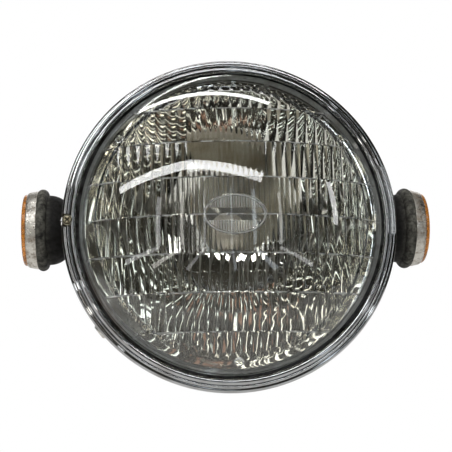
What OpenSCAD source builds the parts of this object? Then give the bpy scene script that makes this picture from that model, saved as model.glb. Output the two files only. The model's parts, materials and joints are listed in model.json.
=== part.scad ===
// Round motorcycle headlight: a fluted glass beam unit in a polished rim, on a black steel shell,
// with a round amber side reflector on each end of its mounting axis.
// Frame: the origin is the middle of the mounting axis. +X is along that axis, the beam shines
// along -Y and +Z is up.

/* [Glass beam unit] */
// Outer diameter of the glass flange
flange_d = 178; // [150:1:200]
// Width of the flange outside the glass shoulder
flange_w = 4; // [2:0.1:5]
// Thickness of the flange of each glass half
flange_t = 1.5; // [1:0.1:3]
// Radius of the rounded corner between shoulder and dome
corner_r = 2.6; // [2:0.1:5]
// How far the dome starts in front of the rim's lip
face_out = 4; // [3.8:0.1:8]
// Height of the dome
dome_h = 28; // [20:0.5:34]
// Thickness of the front glass
glass_t = 3.5; // [2.5:0.1:5]
// Height of a row of flutes
row_h = 20.5; // [16:0.5:26]
// Width of a flute
flute_w = 5.6; // [5:0.1:8]
// Width of a flute in the two middle rows
mid_flute_w = 4.4; // [4:0.1:8]
// Depth of a flute
flute_depth = 0.6; // [0.4:0.05:0.9]
// Width of the plain oval in the middle of the glass
oval_w = 32; // [20:1:40]
// Height of the plain oval
oval_h = 20.5; // [12:0.5:26]
// Focal length of the reflector
focal = 28; // [25:0.5:34]
// Wall of the reflector bowl
bowl_t = 2.6; // [2:0.1:4]
// Diameter of the flat back of the reflector
bowl_back_d = 44; // [40:1:56]

/* [Filaments and terminals] */
// Distance of each terminal from the beam axis
prong_r = 9; // [8:0.25:12]
// Diameter of a filament support post
post_d = 1.8; // [1.2:0.1:2.4]
// Length of a filament
filament_l = 6; // [4:0.5:8]
// Diameter of a filament coil
filament_d = 1.2; // [0.8:0.1:1.6]
// Diameter of the shield in front of the filaments
shield_d = 20; // [14:0.5:24]
// Thickness of the shield's sheet
shield_t = 0.5; // [0.4:0.1:1]
// Width of a terminal blade
blade_w = 8; // [6:0.5:9]
// Thickness of a terminal blade
blade_t = 0.9; // [0.6:0.1:1.4]
// Length of a terminal blade
blade_l = 11; // [8:0.5:14]
// Height of the metal ferrule under each blade
ferrule_h = 4; // [2:0.5:6]

/* [Rim] */
// Gap between the glass shoulder and the rim's lip
lip_gap = 2.2; // [0.9:0.1:3]
// Sheet thickness of the rim
rim_t = 1.2; // [0.8:0.1:1.6]
// Depth of the rim's rolled front from its lip to its inside
rim_face = 2.8; // [2.6:0.1:4]
// Length of shell that the rim covers
rim_overlap = 5; // [4:0.5:8]
// Radial gap between rim and shell
rim_fit = 0.6; // [0.3:0.1:1]

/* [Aiming] */
// Largest turn of the beam to each side
aim_deg = 2; // [1:0.25:2.5]
// Free space in front of the beam's ring at the end of its turn
ring_play = 0.4; // [0.3:0.1:1]
// Sheet thickness of the beam's ring
ring_t = 1.2; // [1:0.1:2]
// Radial gap between the glass flange and the ring
flange_fit = 0.5; // [0.3:0.1:1]
// Wall of the ring round the flange
ring_wall = 1.5; // [1.2:0.1:2.5]
// Radial gap between the ring and the shell
ring_gap = 1; // [0.8:0.1:2]
// Diameter of the rivets between the ring and the retainer ring
rivet_d = 2.5; // [2:0.1:3]
// Diameter of the two pivot pins
pin_d = 4; // [3:0.25:5]
// Running clearance of the pivot pins and the aiming screw, on the radius
run_fit = 0.06; // [0.03:0.01:0.1]
// Diameter of the aiming screw
aim_d = 4; // [3:0.25:4]
// Diameter of the aiming screw's head
aim_head_d = 5.8; // [5:0.1:7]
// Height of the aiming screw's head
aim_head_h = 2; // [1.6:0.1:3]
// Distance of the aiming screw inside the rim's outer face
aim_inset = 3.5; // [3.3:0.1:4]
// Height of the aiming screw above the beam axis
aim_rise = 1.9; // [0:0.1:4]
// Thickness of the aiming nut
nut_t = 4; // [3:0.25:5]
// Height of the aiming nut
nut_h = 12; // [10:0.5:16]
// Wire of the aiming spring
wire_d = 0.6; // [0.4:0.1:0.8]

/* [Shell] */
// How far the rim's lip stands in front of the mounting axis
lip_ahead = 46; // [46:0.5:54]
// How far the beam axis lies under the mounting axis
beam_drop = 3; // [0:0.5:6]
// Sheet thickness of the shell
shell_t = 1.2; // [1:0.1:2]
// How far the shell's back lies behind the mounting axis
shell_back = 78; // [74:1:95]
// Diameter of the shell's flat back
back_d = 56; // [50:1:70]
// Diameter of the wiring hole through the grommet
harness_d = 22; // [16:0.5:26]
// Wall of the grommet round the wiring hole
grommet_wall = 3; // [2:0.25:5]
// Diameter of the drain hole
drain_d = 6; // [4:0.5:8]
// Diameter of the two rim screws
rim_screw_d = 5; // [4:0.25:6]
// Angle of the rim screws below the horizontal
rim_screw_a = 38; // [34:1:50]

/* [Side reflectors] */
// Diameter of the flat boss pressed into the shell
boss_d = 34; // [32:0.5:38]
// How far the boss stands out of the shell
boss_out = 2.3; // [2:0.1:4]
// Diameter of the mounting studs
stud_d = 8; // [6:0.5:10]
// Diameter of the rubber base where it meets the boss
neck_d = 33; // [26:0.5:34]
// Diameter of the rubber base at its round edge
base_d = 48.8; // [44:0.2:56]
// Length of the flared part of the rubber base
flare_l = 10.2; // [8:0.2:14]
// Width of the base's round edge
bulge_w = 6.8; // [5:0.2:9]
// Width of the metal bezel outside the base
bezel_w = 5.2; // [4:0.2:8]
// Diameter of the bezel
bezel_d = 46.6; // [43:0.2:54]
// Wall of the bezel
bezel_t = 1.2; // [0.8:0.1:2]
// Diameter of the bezel's neck, which seats in the rubber base
bezel_neck_d = 36; // [33:0.5:37]
// How far the amber lens stands out of the bezel
amber_out = 2.8; // [1.5:0.1:4]
// Thickness of the flat washers
washer_t = 1.6; // [1:0.1:2.5]
// Thickness of the spring washers
lock_t = 2; // [1:0.1:3]

/* [Hidden] */
$fn = 96;
// Points in a rounded corner of a profile
arc_n = 8;
// Points in the long curves of the shell and the reflector
curve_n = 24;

// Radii from the glass outwards
flange_r = flange_d / 2;
shoulder_r = flange_r - flange_w;
face_r = shoulder_r - corner_r;
ring_in_r = flange_r + flange_fit;
ring_r = ring_in_r + ring_wall;
shell_r = ring_r + ring_gap + shell_t;
skirt_in_r = shell_r + rim_fit;
rim_r = skirt_in_r + rim_t;
lip_r = shoulder_r + lip_gap;

// Places along Y, from the lip backwards
lip_y = -lip_ahead;
swing = ring_r * sin(aim_deg);
ring_y = lip_y + rim_face + swing + ring_play;
flange_y = ring_y + ring_t;
seam_y = flange_y + flange_t;
flange_back_y = seam_y + flange_t;
retainer_back_y = flange_back_y + ring_t;
pin_boss_r = pin_d / 2 + 1.2;
boss_edge = 0.15;
play = 0.5;
pivot_y = retainer_back_y + pin_boss_r + boss_edge;
ring_back_y = pivot_y + pin_boss_r + boss_edge;
screw_tip_y = pivot_y + nut_t / 2 + swing + play;
bracket_t = 1.2;
bracket_gap = 0.3;
bracket_front_y = ring_back_y + swing + bracket_gap;
shell_front_y = bracket_front_y + bracket_t + bracket_gap;
rim_back_y = shell_front_y + rim_overlap;
rim_screw_y = rim_back_y + 6;
grommet_neck_r = harness_d / 2 + grommet_wall;
grommet_lip = 3;
grommet_lip_t = 2;
bracket_w = 14;
bracket_z = -shell_t - bracket_gap - 0.5;
pad_w = 14;
pad_l = 7;
pad_z = ring_r + 0.9;
pin_boss_in = 2;
rivet_in = 2 * ring_t;
rivet_angles = [50, 130, 230, 310];

// Dome of the front glass
dome_y = lip_y - face_out;
dome_r = (face_r * face_r + dome_h * dome_h) / (2 * dome_h);
dome_cy = dome_y - dome_h + dome_r;
inner_r = dome_r - glass_t;
cavity_r = face_r - 1.6;
// Land left between two rows of flutes
row_land = 0.4;
// The plain block over the oval, to the left and right of the beam axis
block_left = 25;
block_right = 17;
// Radius of the smooth hollow that the rows are cut from
core_r = inner_r - flute_depth - 0.4;
// Radius of the fluted zone, with a smooth band outside it
flute_zone_r = cavity_r - 6;
row_n = ceil(cavity_r / row_h);

// Reflector bowl: r * r = 4 * focal * (vertex_y - y)
bowl_r = cavity_r;
vertex_y = seam_y + bowl_r * bowl_r / (4 * focal);
bowl_back_y = vertex_y + bowl_t;
focus_y = vertex_y - focal;
post_fit = 0.05;
// Angles of the three terminals from the top: the common one, then the two beams
prong_angles = [0, 110, -110];
high_rise = 3.2;
high_ahead = 3;
shield_y = focus_y - 12;
shield_h = shield_d * 0.22;
shield_r = (shield_d * shield_d / 4 + shield_h * shield_h) / (2 * shield_h);

// Aiming screw
aim_x = -(rim_r - aim_inset);
aim_z = aim_rise - beam_drop;
pocket_r = aim_inset + 0.9;
pocket_in_r = pocket_r - 1;
pocket_y = lip_y + 2.2;
seat_t = 1;
seat_w = 6;
seat_h = 7.4;
seat_nose_r = aim_d / 2 + 0.65;
seat_y = pocket_y - seat_t;
seat_back_y = pocket_y + rim_t + 0.8;
nut_bore_r = aim_d / 2 + 0.3;
slot_r = aim_d / 2 + 1.6;
spring_r = aim_d / 2 + 0.25 + wire_d / 2;
spring_turns = 5;
spring_sides = 6;
spring_steps = 14;

// Side mounting stack, along X from the shell outwards
boss_x = shell_r + boss_out;
bulge_x = boss_x + flare_l;
edge_x = bulge_x + bulge_w;
bezel_x = edge_x + 0.2;
bezel_end_x = bezel_x + bezel_w;
amber_x = bezel_end_x + amber_out;
seat_depth = 2.6;
seat_fit = 0.1;
bezel_neck_r = bezel_neck_d / 2;
bezel_in_r = bezel_d / 2 - bezel_t - 0.8;
edge_round = 1.6;
head_x = boss_x + 4.5;
head_h = 5.3;
stud_r = stud_d / 2;
stud_fit = 0.2;
hex_r = stud_r * 1.9;
washer_r = stud_r * 2.2;
hex_h = stud_d * 0.8;
boss_in_x = boss_x - shell_t;
lock_x = boss_in_x - washer_t;
side_nut_x = lock_x - lock_t;

// Points of an arc round [cx, cy] from angle a0 to a1
function arc(cx, cy, r, a0, a1, n = arc_n) =
    [for (i = [0:n]) let (a = a0 + (a1 - a0) * i / n) [cx + r * cos(a), cy + r * sin(a)]];

// Turns a profile of [radius, y] points round the beam axis
module beam_turned(points) {
    on_beam() rotate([-90, 0, 0]) rotate_extrude() polygon(points);
}

module on_beam() {
    translate([0, 0, -beam_drop]) children();
}

// A rod along +Y from y0 to y1, at x and z
module y_rod(r, y0, y1, x = 0, z = 0) {
    translate([x, y0, z]) rotate([-90, 0, 0]) cylinder(r = r, h = y1 - y0);
}

// Turns a profile of [radius, x] points round the mounting axis; side is 1 right, -1 left
module side_turned(side, points) {
    mirror([side < 0 ? 1 : 0, 0, 0]) rotate([0, 90, 0]) rotate_extrude() polygon(points);
}

module side_rod(side, r, x0, x1) {
    mirror([side < 0 ? 1 : 0, 0, 0]) translate([x0, 0, 0]) rotate([0, 90, 0]) cylinder(r = r, h = x1 - x0);
}

// Shell: a spun steel bowl with two flat bosses
function bowl_curve(r, back_y, back_r) =
    let (start_y = shell_front_y + rim_overlap + 4, a1 = acos(back_r / r))
    [for (i = [0:curve_n]) let (a = a1 * i / curve_n)
        [r * cos(a), start_y + (back_y - start_y) * sin(a) / sin(a1)]];

module shell() {
    color([0.06, 0.06, 0.06]) difference() {
        union() {
            beam_turned(concat([[0, shell_front_y], [shell_r, shell_front_y]],
                bowl_curve(shell_r, shell_back, back_d / 2), [[0, shell_back]]));
            for (side = [-1, 1]) side_rod(side, boss_d / 2, boss_x - boss_d / 2, boss_x);
        }
        beam_turned(concat([[0, shell_front_y - 1], [shell_r - shell_t, shell_front_y - 1]],
            bowl_curve(shell_r - shell_t, shell_back - shell_t, back_d / 2 - shell_t / 2),
            [[0, shell_back - shell_t]]));
        for (side = [-1, 1]) side_rod(side, boss_d / 2 - shell_t, boss_x - boss_d / 2, boss_in_x);
        for (side = [-1, 1]) side_rod(side, stud_r + stud_fit, boss_in_x - 1, boss_x + 1);
        for (side = [-1, 1]) rim_screw_place(side) {
            translate([0, 0, -rim_screw_d]) cylinder(d = rim_screw_d + 0.6, h = 3 * rim_screw_d);
        }
        y_rod(grommet_neck_r, shell_back - 2 * shell_t, shell_back + 1, 0, -beam_drop);
        translate([0, 0, -beam_drop - shell_r - 1]) cylinder(d = drain_d, h = 12);
    }
}

module harness_grommet() {
    inner_y = shell_back - shell_t;
    lip_end_r = grommet_neck_r + grommet_lip;
    lip_back_y = shell_back + grommet_lip_t;
    hole_r = harness_d / 2;
    color([0.09, 0.09, 0.09]) beam_turned([
        [hole_r, inner_y - grommet_lip_t], [lip_end_r, inner_y - grommet_lip_t], [lip_end_r, inner_y],
        [grommet_neck_r, inner_y], [grommet_neck_r, shell_back], [lip_end_r, shell_back],
        [lip_end_r - 1, lip_back_y], [hole_r + 1.5, lip_back_y + 2], [hole_r, lip_back_y + 2]]);
}

// Rim: a rolled lip, a groove, a fine bead, a sloping band, a round shoulder and a straight skirt
function rim_outside() =
    let (r = lip_r, y = lip_y, bead = 1.6, groove = 0.55, fine = 0.55, fall = 1.15, turn = 1.9, hem = 0.7)
    concat(
        [[r, y + rim_face]],
        arc(r + bead, y + bead, bead, 180, 330),
        arc(r + 2 * bead + groove + fine, y + fall + fine, fine, 200, 350),
        arc(rim_r - turn, y + fall + 0.85 + turn, turn, 262, 360),
        [[rim_r, rim_back_y - 2 * hem]],
        arc(rim_r - hem, rim_back_y - hem, hem, 0, 80, 4),
        [[rim_r - hem, rim_back_y]]);

module rim() {
    color([0.75, 0.77, 0.8]) difference() {
        union() {
            beam_turned(concat(rim_outside(), [[lip_r, rim_back_y]]));
            intersection() {
                y_rod(pocket_r, pocket_y, rim_back_y, aim_x, aim_z);
                translate([-rim_r - 2 * pocket_r, pocket_y - 1, aim_z - pocket_r - 1])
                    cube([2 * pocket_r + aim_inset + 1.2, rim_back_y, 2 * pocket_r + 2]);
            }
        }
        beam_turned([[lip_r - 1, lip_y + rim_face], [lip_r + 4.2, lip_y + rim_face],
            [skirt_in_r - 1.2, lip_y + rim_face + 0.8], [skirt_in_r, lip_y + rim_face + 2.2],
            [skirt_in_r, rim_back_y + 1], [lip_r - 1, rim_back_y + 1]]);
        y_rod(pocket_in_r, pocket_y + rim_t, rim_back_y + 1, aim_x, aim_z);
        y_rod(seat_nose_r + post_fit, pocket_y - 1, pocket_y + rim_t + 1, aim_x, aim_z);
        translate([aim_x - seat_w / 2 - post_fit, lip_y - 1, aim_z - seat_h / 2 - post_fit])
            cube([seat_w + 2 * post_fit, pocket_y - lip_y + 1, seat_h + 2 * post_fit]);
    }
}

// Puts +Z radially out of the rim at a rim screw, with z = 0 on the shell's outer face
module rim_screw_place(side) {
    on_beam() rotate([0, side * (90 + rim_screw_a), 0]) translate([0, rim_screw_y, shell_r]) children();
}

module rim_bracket(side) {
    color([0.7, 0.68, 0.55]) rim_screw_place(side) difference() {
        union() {
            translate([-bracket_w / 2, bracket_front_y - rim_screw_y, bracket_z - bracket_t])
                cube([bracket_w, rim_screw_y - bracket_front_y + rim_screw_d, bracket_t]);
            intersection() {
                translate([-bracket_w / 2, bracket_front_y - rim_screw_y, bracket_z - bracket_t])
                    cube([bracket_w, bracket_t, bracket_t + 8]);
                translate([0, 0, -shell_r]) rotate([90, 0, 0])
                    cylinder(r = skirt_in_r, h = skirt_in_r, center = true);
            }
        }
        translate([0, 0, bracket_z - 5]) cylinder(d = rim_screw_d + 0.4, h = 10);
    }
}

module rim_nut(side) {
    height = rim_screw_d * 0.8;
    color([0.75, 0.72, 0.6]) rim_screw_place(side)
        translate([0, 0, bracket_z - bracket_t - height]) difference() {
            cylinder(r = rim_screw_d * 0.9, h = height, $fn = 6);
            translate([0, 0, -1]) cylinder(d = rim_screw_d + 0.1, h = height + 2);
        }
}

module rim_screw(side) {
    head_r = rim_screw_d * 0.95;
    seat = 0.35;
    color([0.72, 0.72, 0.7]) rim_screw_place(side) translate([0, 0, seat]) difference() {
        union() {
            rotate_extrude() polygon(concat([[0, 0], [head_r, 0]],
                arc(head_r - 1.6, 1, 1.6, 0, 90), [[0, 2.6]]));
            translate([0, 0, -12]) cylinder(d = rim_screw_d, h = 12.5);
        }
        for (a = [0, 90]) rotate(a) translate([-2.2, -0.5, 1.2]) cube([4.4, 1, 3]);
    }
}

// Pivot brackets: pads spot welded inside the rim, with a shouldered pin each
module pivot_place(up) {
    on_beam() translate([0, pivot_y, 0]) rotate([up > 0 ? 0 : 180, 0, 0]) children();
}

module pivot_bracket(up) {
    color([0.6, 0.6, 0.58]) pivot_place(up) difference() {
        intersection() {
            translate([-pad_w / 2, -pad_l / 2, pad_z]) cube([pad_w, pad_l, 10]);
            rotate([90, 0, 0]) cylinder(r = skirt_in_r, h = 3 * pad_l, center = true, $fn = 256);
        }
        translate([0, 0, pad_z - 1]) cylinder(d = pin_d, h = 10);
    }
}

module pivot_pin(up) {
    color([0.7, 0.7, 0.66]) pivot_place(up) translate([0, 0, ring_in_r - pin_boss_in + 0.2])
        cylinder(d = pin_d, h = skirt_in_r - 1 - ring_in_r + pin_boss_in - 0.2);
}

// Ring that carries the glass: a flat face, a wall and two pivot bosses
module aim_relief(extra = 0) {
    translate([aim_x - 2 * slot_r, ring_y - ring_t, aim_z - slot_r - extra])
        cube([3 * slot_r + extra, ring_back_y - ring_y + 3 * ring_t, 2 * (slot_r + extra)]);
}

module unit_ring() {
    color([0.55, 0.56, 0.55]) difference() {
        union() {
            beam_turned([[shoulder_r + 0.6, ring_y], [ring_r, ring_y], [ring_r, ring_back_y],
                [ring_in_r, ring_back_y], [ring_in_r, flange_y], [shoulder_r + 0.6, flange_y]]);
            for (up = [1, -1]) pivot_place(up) translate([0, 0, ring_in_r - pin_boss_in])
                cylinder(r = pin_boss_r, h = pin_boss_in + ring_wall / 2);
        }
        for (up = [1, -1]) pivot_place(up)
            translate([0, 0, ring_in_r - 5]) cylinder(r = pin_d / 2 + run_fit, h = 10);
        aim_relief();
        translate([aim_x - slot_r, pivot_y - nut_t / 2, aim_z - nut_h / 2])
            cube([3 * slot_r, nut_t, nut_h]);
        rivets(post_fit, 1);
    }
}

module retainer_ring() {
    out_r = ring_in_r - 0.2;
    in_r = bowl_r + bowl_t + 1.6;
    tab_w = 10;
    color([0.6, 0.6, 0.58]) difference() {
        union() {
            beam_turned([[in_r, flange_back_y], [out_r, flange_back_y],
                [out_r, retainer_back_y], [in_r, retainer_back_y]]);
            intersection() {
                beam_turned([[out_r - ring_t, flange_back_y], [out_r, flange_back_y],
                    [out_r, ring_back_y], [out_r - ring_t, ring_back_y]]);
                on_beam() for (a = rivet_angles) rotate([0, a, 0])
                    translate([-tab_w / 2, flange_back_y, 0])
                        cube([tab_w, ring_back_y - flange_back_y, ring_r]);
            }
        }
        aim_relief();
        rivets(post_fit, 1);
    }
}

module rivets(extra = 0, through = 0) {
    on_beam() for (a = rivet_angles) rotate([0, a, 0])
        translate([0, pivot_y, ring_in_r - rivet_in - through])
            cylinder(r = rivet_d / 2 + extra, h = rivet_in + ring_wall + 2 * through);
}

module rivet_heads() {
    on_beam() for (a = rivet_angles) rotate([0, a, 0])
        translate([0, pivot_y, ring_r])
            cylinder(d1 = rivet_d * 1.76, d2 = rivet_d * 1.12, h = rivet_d * 0.28);
}

module retainer_rivets() {
    color([0.7, 0.7, 0.68]) union() {
        rivets();
        rivet_heads();
    }
}

// Aiming screw, its seat in the rim, its nut in the ring and the spring between them
module aim_seat() {
    color([0.6, 0.55, 0.35]) difference() {
        union() {
            translate([aim_x - seat_w / 2, seat_y, aim_z - seat_h / 2]) cube([seat_w, seat_t, seat_h]);
            y_rod(seat_nose_r, seat_y, seat_back_y, aim_x, aim_z);
        }
        y_rod(aim_d / 2 + run_fit, seat_y - 1, seat_back_y + 1, aim_x, aim_z);
    }
}

module aim_screw() {
    head_r = aim_head_d / 2;
    color([0.62, 0.58, 0.4]) translate([aim_x, seat_y, aim_z]) rotate([90, 0, 0]) difference() {
        union() {
            rotate_extrude() polygon(concat([[0, 0], [head_r, 0]],
                arc(head_r - 1.3, aim_head_h - 1.3, 1.3, 0, 90), [[0, aim_head_h]]));
            translate([0, 0, seat_y - screw_tip_y]) cylinder(d = aim_d, h = screw_tip_y - seat_y + 0.5);
        }
        for (a = [45, 135]) rotate(a) translate([-1.7, -0.4, aim_head_h - 1.1]) cube([3.4, 0.8, 3]);
    }
}

module aim_nut() {
    plate_x = -(skirt_in_r - 0.8);
    color([0.65, 0.6, 0.4]) difference() {
        union() {
            translate([plate_x, pivot_y - nut_t / 2, aim_z - nut_h / 2])
                cube([aim_x + slot_r - 0.8 - plate_x, nut_t, nut_h]);
            y_rod(nut_bore_r + 0.7, pivot_y - nut_t / 2, pivot_y + nut_t / 2, aim_x, aim_z);
        }
        y_rod(nut_bore_r, pivot_y - nut_t, pivot_y + nut_t, aim_x, aim_z);
    }
}

module aim_spring() {
    y0 = seat_back_y + wire_d / 2 + 0.05;
    y1 = pivot_y - nut_t / 2 - wire_d / 2 - 0.05;
    n = spring_turns * spring_steps;
    rings = [for (i = [0:n], j = [0:spring_sides - 1])
        let (a = 360 * i / spring_steps, b = 360 * j / spring_sides, r = spring_r + wire_d / 2 * cos(b))
        [r * cos(a), y0 + (y1 - y0) * i / n + wire_d / 2 * sin(b), r * sin(a)]];
    sides = [for (i = [0:n - 1], j = [0:spring_sides - 1])
        let (k = (j + 1) % spring_sides, m = i * spring_sides)
        [m + j, m + k, m + spring_sides + k, m + spring_sides + j]];
    caps = [[for (j = [spring_sides - 1:-1:0]) j], [for (j = [0:spring_sides - 1]) n * spring_sides + j]];
    color([0.5, 0.5, 0.5]) translate([aim_x, 0, aim_z]) polyhedron(rings, concat(sides, caps));
}

// Front glass: smooth outside; inside, rows of vertical flutes that follow the dome.
// Each row is one scalloped arc, extruded upwards and tilted to lie along the dome.
function flute_profile(width) =
    let (step = width / inner_r * 180 / PI, side = ceil(cavity_r / width) - 1)
    [for (i = [-side:side], j = [-2:1])
        let (a = (i + j / 4) * step, r = inner_r - flute_depth * (1 - j * j / 4)) [r * sin(a), -r * cos(a)]];

module flute_row(k) {
    middle = k == -1 || k == 0;
    mid_z = (k + 0.5) * row_h;
    tilt = asin(sign(mid_z) * min(abs(mid_z), cavity_r - row_h / 4) / inner_r);
    cut_back_y = dome_cy - core_r * 0.6;
    difference() {
        intersection() {
            y_rod(flute_zone_r, dome_cy - dome_r, cut_back_y);
            translate([-cavity_r - 1, dome_cy - dome_r, k * row_h + row_land / 2])
                cube([2 * cavity_r + 2, cut_back_y - dome_cy + dome_r - 1, row_h - row_land]);
            translate([0, dome_cy, 0]) rotate([-tilt, 0, 0])
                linear_extrude(height = 4 * row_h, center = true)
                    polygon(concat(flute_profile(middle ? mid_flute_w : flute_w),
                        [[cavity_r + row_h, 0], [-cavity_r - row_h, 0]]));
        }
        if (middle) plain_oval();
        if (k == 1 || k == 2) plain_block();
    }
}

module plain_oval() {
    translate([0, dome_cy - dome_r, 0]) rotate([-90, 0, 0]) linear_extrude(height = dome_r)
        polygon([for (a = [0:10:350]) [oval_w / 2 * cos(a), oval_h / 2 * sin(a)]]);
}

// Block over the oval that has no flutes
module plain_block() {
    translate([-block_left, dome_cy - dome_r, 0])
        cube([block_left + block_right, dome_r, cavity_r]);
}

module lens() {
    dome_a = acos(face_r / dome_r);
    color([0.8, 0.85, 0.85, 0.4]) on_beam() difference() {
        rotate([-90, 0, 0]) rotate_extrude() polygon(concat(
            [[0, seam_y], [flange_r, seam_y], [flange_r, flange_y], [shoulder_r, flange_y]],
            arc(face_r, dome_y + corner_r, corner_r, 0, dome_a - 80),
            arc(0, dome_cy, dome_r, -dome_a, -90, curve_n)));
        intersection() {
            y_rod(cavity_r, dome_cy - dome_r, seam_y + 1);
            translate([0, dome_cy, 0]) sphere(core_r);
        }
        for (k = [-row_n:row_n - 1]) flute_row(k);
        translate([0, 0, beam_drop]) aim_relief(0.4);
    }
}

// Reflector: a parabolic glass bowl with a flat back
function parabola(r0, r1, out = 0) =
    [for (i = [0:curve_n]) let (r = r0 + (r1 - r0) * i / curve_n, slope = r / (2 * focal),
        n = sqrt(1 + slope * slope)) [r + out * slope / n, vertex_y - r * r / (4 * focal) + out / n]];

module reflector() {
    back_r = bowl_back_d / 2;
    color([0.8, 0.8, 0.78]) difference() {
        beam_turned(concat([[bowl_r, seam_y], [flange_r, seam_y], [flange_r, flange_back_y],
            [bowl_r + bowl_t + 0.6, flange_back_y]], parabola(bowl_r - 0.5, back_r, bowl_t),
            [[back_r + bowl_t / 2, bowl_back_y], [0, bowl_back_y], [0, vertex_y]],
            parabola(0, bowl_r)));
        for (i = [0:2]) prong_place(i) y_rod(post_d / 2 + post_fit, focus_y, bowl_back_y + 1);
        aim_relief(0.4);
    }
}

// Three terminals: 0 the common one at the top, 1 and 2 the two beams at the sides
module prong_place(i) {
    at = prong_at(i);
    translate([at[0], 0, at[1] - beam_drop]) children();
}

module ferrule(i) {
    color([0.55, 0.55, 0.5]) prong_place(i) difference() {
        y_rod(post_d / 2 + 3, bowl_back_y, bowl_back_y + ferrule_h);
        y_rod(post_d / 2 + post_fit, bowl_back_y - 1, bowl_back_y + ferrule_h - 1);
    }
}

module terminal(i) {
    color([0.75, 0.72, 0.6]) prong_place(i) rotate([0, i == 0 ? 90 : 0, 0])
        translate([-blade_t / 2, bowl_back_y + ferrule_h, -blade_w / 2]) difference() {
            cube([blade_t, blade_l, blade_w]);
            translate([-1, blade_l * 0.6, blade_w / 2]) rotate([0, 90, 0]) cylinder(d = 2, h = blade_t + 2);
        }
}

// The low filament lies at the focus, the high one a little in front and above.
// Places are [x, y, z] from the beam axis.
function filament_at(i) = i == 1 ? [0, focus_y, 0] : [0, focus_y - high_ahead, high_rise];
function filament_end(i, side) = filament_at(i) + [side * filament_l / 2, 0, 0];
function prong_at(i) = [prong_r * sin(prong_angles[i]), prong_r * cos(prong_angles[i])];

// A rod from point p to point q
module rod(p, q, r) {
    d = q - p;
    translate(p) rotate([0, acos(d[2] / norm(d)), atan2(d[1], d[0])]) cylinder(r = r, h = norm(d));
}

module post(i) {
    at = prong_at(i);
    tip_y = i == 0 ? shield_y - shield_h / 2 : filament_at(i)[1];
    arm_r = post_d / 3;
    color([0.5, 0.5, 0.48]) union() {
        prong_place(i) y_rod(post_d / 2, tip_y, bowl_back_y + ferrule_h - 1 - post_fit);
        on_beam() if (i == 0) {
            rod([at[0], focus_y, at[1]], filament_end(1, -1), arm_r);
            rod([at[0], focus_y - high_ahead, at[1]], filament_end(2, 1), arm_r);
        } else {
            rod([at[0], tip_y + arm_r, at[1]], filament_end(i, i == 1 ? 1 : -1), arm_r);
        }
    }
}

module filament(i) {
    color([0.4, 0.4, 0.42]) on_beam() translate(filament_at(i))
        rotate([0, 90, 0]) cylinder(d = filament_d, h = filament_l, center = true);
}

module filament_shield() {
    color([0.35, 0.35, 0.35]) on_beam() difference() {
        translate([0, shield_y + shield_r - shield_h, 0]) sphere(shield_r);
        translate([0, shield_y + shield_r - shield_h, 0]) sphere(shield_r - shield_t);
        translate([-shield_d, shield_y, -shield_d]) cube([2 * shield_d, 3 * shield_d, 2 * shield_d]);
    }
}

// Side reflector: a flared rubber base, a metal bezel and a round amber lens
module side_base(side) {
    crest_r = base_d / 2 - edge_round;
    seat_r = bezel_neck_r + seat_fit;
    color([0.12, 0.12, 0.11]) side_turned(side, concat(
        [[stud_r + stud_fit, boss_x], [neck_d / 2, boss_x]],
        [for (i = [1:arc_n]) let (t = i / arc_n)
            [neck_d / 2 + (crest_r - neck_d / 2) * sin(90 * t), boss_x + flare_l * t]],
        [for (i = [1:arc_n - 1]) let (a = 180 * i / arc_n)
            [crest_r + edge_round * sin(a), bulge_x + bulge_w * (1 - cos(a)) / 2]],
        [[crest_r, edge_x], [seat_r, edge_x], [seat_r, edge_x - seat_depth],
            [hex_r + 0.5, edge_x - seat_depth], [hex_r + 0.5, head_x], [stud_r + stud_fit, head_x]]));
}

module side_bezel(side) {
    out_r = bezel_d / 2;
    neck_x = edge_x - seat_depth + 0.2;
    color([0.6, 0.58, 0.54]) side_turned(side, concat(
        [[bezel_neck_r - bezel_t, neck_x], [bezel_neck_r, neck_x], [bezel_neck_r, bezel_x], [out_r, bezel_x]],
        arc(out_r - edge_round, bezel_end_x - edge_round, edge_round, 0, 90),
        [[bezel_in_r, bezel_end_x], [bezel_in_r, bezel_x + bezel_t],
            [bezel_neck_r - bezel_t, bezel_x + bezel_t]]));
}

module side_lens(side) {
    lens_r = bezel_in_r - post_fit;
    turn = 1.4;
    turn_x = amber_x - turn - 0.6;
    color([0.85, 0.35, 0.06]) side_turned(side, concat(
        [[0, bezel_x + bezel_t], [lens_r, bezel_x + bezel_t], [lens_r, turn_x]],
        arc(lens_r - turn, turn_x, turn, 0, 75, 5),
        [[lens_r * 0.6, amber_x - 0.2], [0, amber_x]]));
}

module side_stud(side) {
    color([0.7, 0.68, 0.6]) union() {
        mirror([side < 0 ? 1 : 0, 0, 0]) translate([head_x, 0, 0]) rotate([0, 90, 0])
            cylinder(r = hex_r, h = head_h, $fn = 6);
        side_rod(side, stud_r, side_nut_x - hex_h - 4, head_x + 1);
    }
}

module side_washer(side) {
    color([0.7, 0.7, 0.68]) difference() {
        side_rod(side, washer_r, lock_x, boss_in_x);
        side_rod(side, stud_r + stud_fit, lock_x - 1, boss_in_x + 1);
    }
}

module side_lock_washer(side) {
    color([0.6, 0.6, 0.6]) difference() {
        side_rod(side, stud_r * 1.7, side_nut_x, lock_x);
        side_rod(side, stud_r + stud_fit, side_nut_x - 1, lock_x + 1);
        translate([side * (side_nut_x + lock_t / 2), 0, stud_r * 1.5])
            rotate([20, 0, 0]) cube([lock_t + 2, 1, stud_r * 2], center = true);
    }
}

module side_nut(side) {
    color([0.72, 0.7, 0.62]) mirror([side < 0 ? 1 : 0, 0, 0])
        translate([side_nut_x - hex_h, 0, 0]) rotate([0, 90, 0]) difference() {
            cylinder(r = hex_r, h = hex_h, $fn = 6);
            translate([0, 0, -1]) cylinder(r = stud_r + 0.05, h = hex_h + 2);
        }
}

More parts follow.
